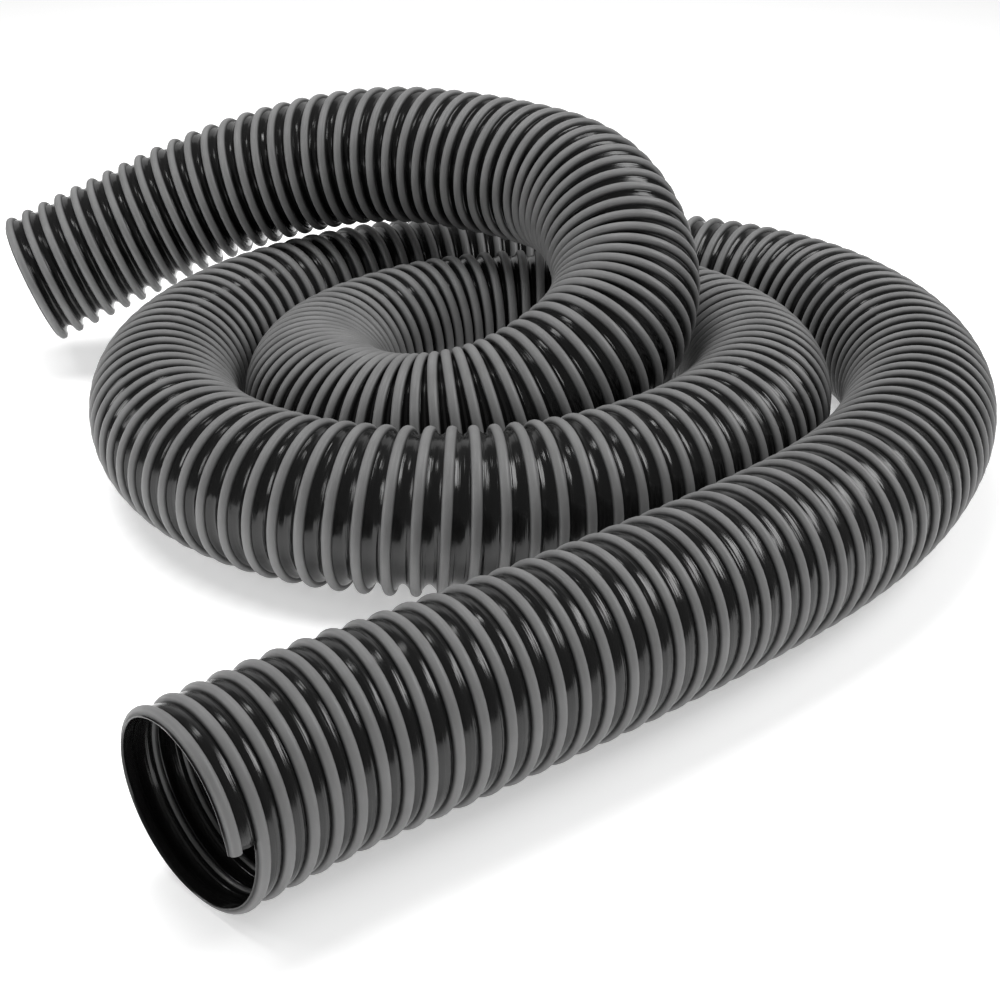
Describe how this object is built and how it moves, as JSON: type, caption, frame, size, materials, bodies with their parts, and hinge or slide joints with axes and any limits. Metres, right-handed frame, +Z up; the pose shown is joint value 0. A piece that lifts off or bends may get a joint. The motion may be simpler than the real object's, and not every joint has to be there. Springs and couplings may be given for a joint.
{
  "type": "vacuum hose",
  "caption": "Flexible corrugated hose with a raised helical rib, lying in two loose loops, one end crossing over them, both ends open and without cuffs.",
  "frame": {"origin": "on the surface that the hose lies on, under the middle of its outline", "axes": "+Z up; -Y towards the front mouth, so that the front run heads from -Y to +X and the raised end points to -X"},
  "size_m": [0.7991, 0.8837, 0.235],
  "materials": {
    "wall": "glossy black flexible PVC film",
    "rib": "satin mid-grey rigid PVC, extruded"
  },
  "bodies": {
    "hose": {"rib_01": "rib", "rib_02": "rib", "rib_03": "rib", "rib_04": "rib", "rib_05": "rib", "rib_06": "rib", "rib_07": "rib", "rib_08": "rib", "rib_09": "rib", "rib_10": "rib", "rib_11": "rib", "rib_12": "rib", "rib_13": "rib", "rib_14": "rib", "rib_15": "rib", "rib_16": "rib", "rib_17": "rib", "rib_18": "rib", "rib_19": "rib", "rib_20": "rib", "rib_21": "rib", "rib_22": "rib", "rib_23": "rib", "rib_24": "rib", "rib_25": "rib", "rib_26": "rib", "rib_27": "rib", "rib_28": "rib", "wall_01": "wall", "wall_02": "wall", "wall_03": "wall", "wall_04": "wall", "wall_05": "wall", "wall_06": "wall", "wall_07": "wall", "wall_08": "wall", "wall_09": "wall", "wall_10": "wall", "wall_11": "wall", "wall_12": "wall", "wall_13": "wall", "wall_14": "wall"}
  },
  "joints": []
}
